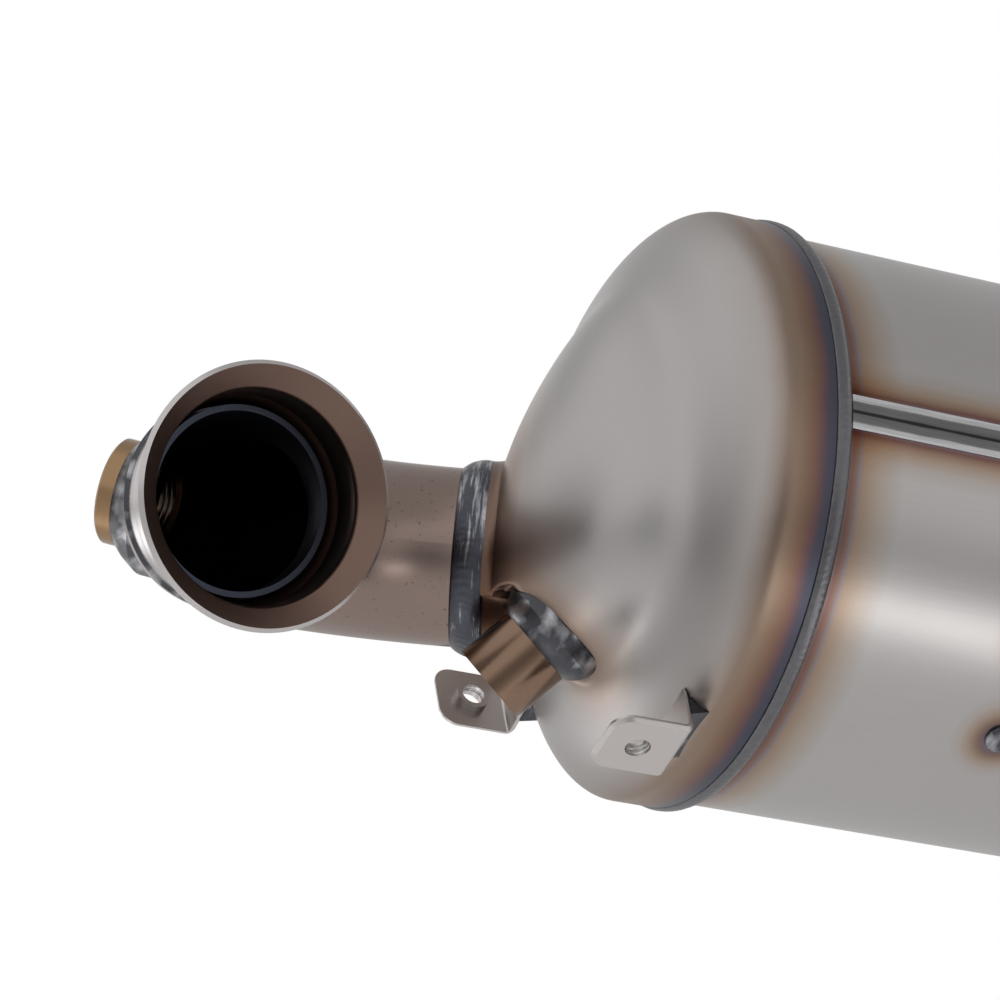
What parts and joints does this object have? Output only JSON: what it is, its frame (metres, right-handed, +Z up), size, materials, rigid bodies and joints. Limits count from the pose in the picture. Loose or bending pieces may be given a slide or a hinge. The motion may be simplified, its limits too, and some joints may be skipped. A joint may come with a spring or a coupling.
{
  "type": "diesel particulate filter",
  "caption": "Round canned diesel particulate filter with a stamped offset inlet head, bent inlet pipe with flared socket, sensor bosses and shield brackets.",
  "frame": {"origin": "centre of the outlet pipe's open end", "axes": "+X along the can's axis towards the outlet, +Z up; the inlet mouth faces -Y"},
  "size_m": [0.5173, 0.1834, 0.1618],
  "materials": {
    "can_steel": "satin, rolled",
    "head_steel": "satin, heat tinted beside its welds",
    "tinted_steel": "brushed, tinted bronze by heat",
    "boss_steel": "turned, tinted bronze by heat",
    "bracket_steel": "satin, sheared edges",
    "weld_steel": "rippled, dark with bright streaks",
    "brick_ceramic": "porous",
    "mat_fibre": "compressed ceramic fibre",
    "mesh_steel": "knitted wire"
  },
  "bodies": {
    "root": {"filter_can": "can_steel", "can_seam_weld": "weld_steel", "filter_brick": "brick_ceramic", "support_mat": "mat_fibre", "inlet_mesh_ring": "mesh_steel", "outlet_mesh_ring": "mesh_steel", "inlet_cone": "head_steel", "inlet_rim_weld": "weld_steel", "inlet_pipe": "tinted_steel", "neck_weld": "weld_steel", "inlet_socket": "tinted_steel", "socket_weld": "weld_steel", "elbow_sensor_boss": "boss_steel", "elbow_boss_weld": "weld_steel", "inlet_tap_boss": "boss_steel", "inlet_tap_weld": "weld_steel", "front_shield_bracket": "bracket_steel", "front_bracket_weld": "weld_steel", "rear_shield_bracket": "bracket_steel", "rear_bracket_weld": "weld_steel", "hanger_bracket": "bracket_steel", "hanger_welds": "weld_steel", "outlet_cone": "head_steel", "outlet_rim_weld": "weld_steel", "outlet_pipe": "tinted_steel", "outlet_neck_weld": "weld_steel", "outlet_tap_boss": "boss_steel", "outlet_tap_weld": "weld_steel"}
  },
  "joints": []
}
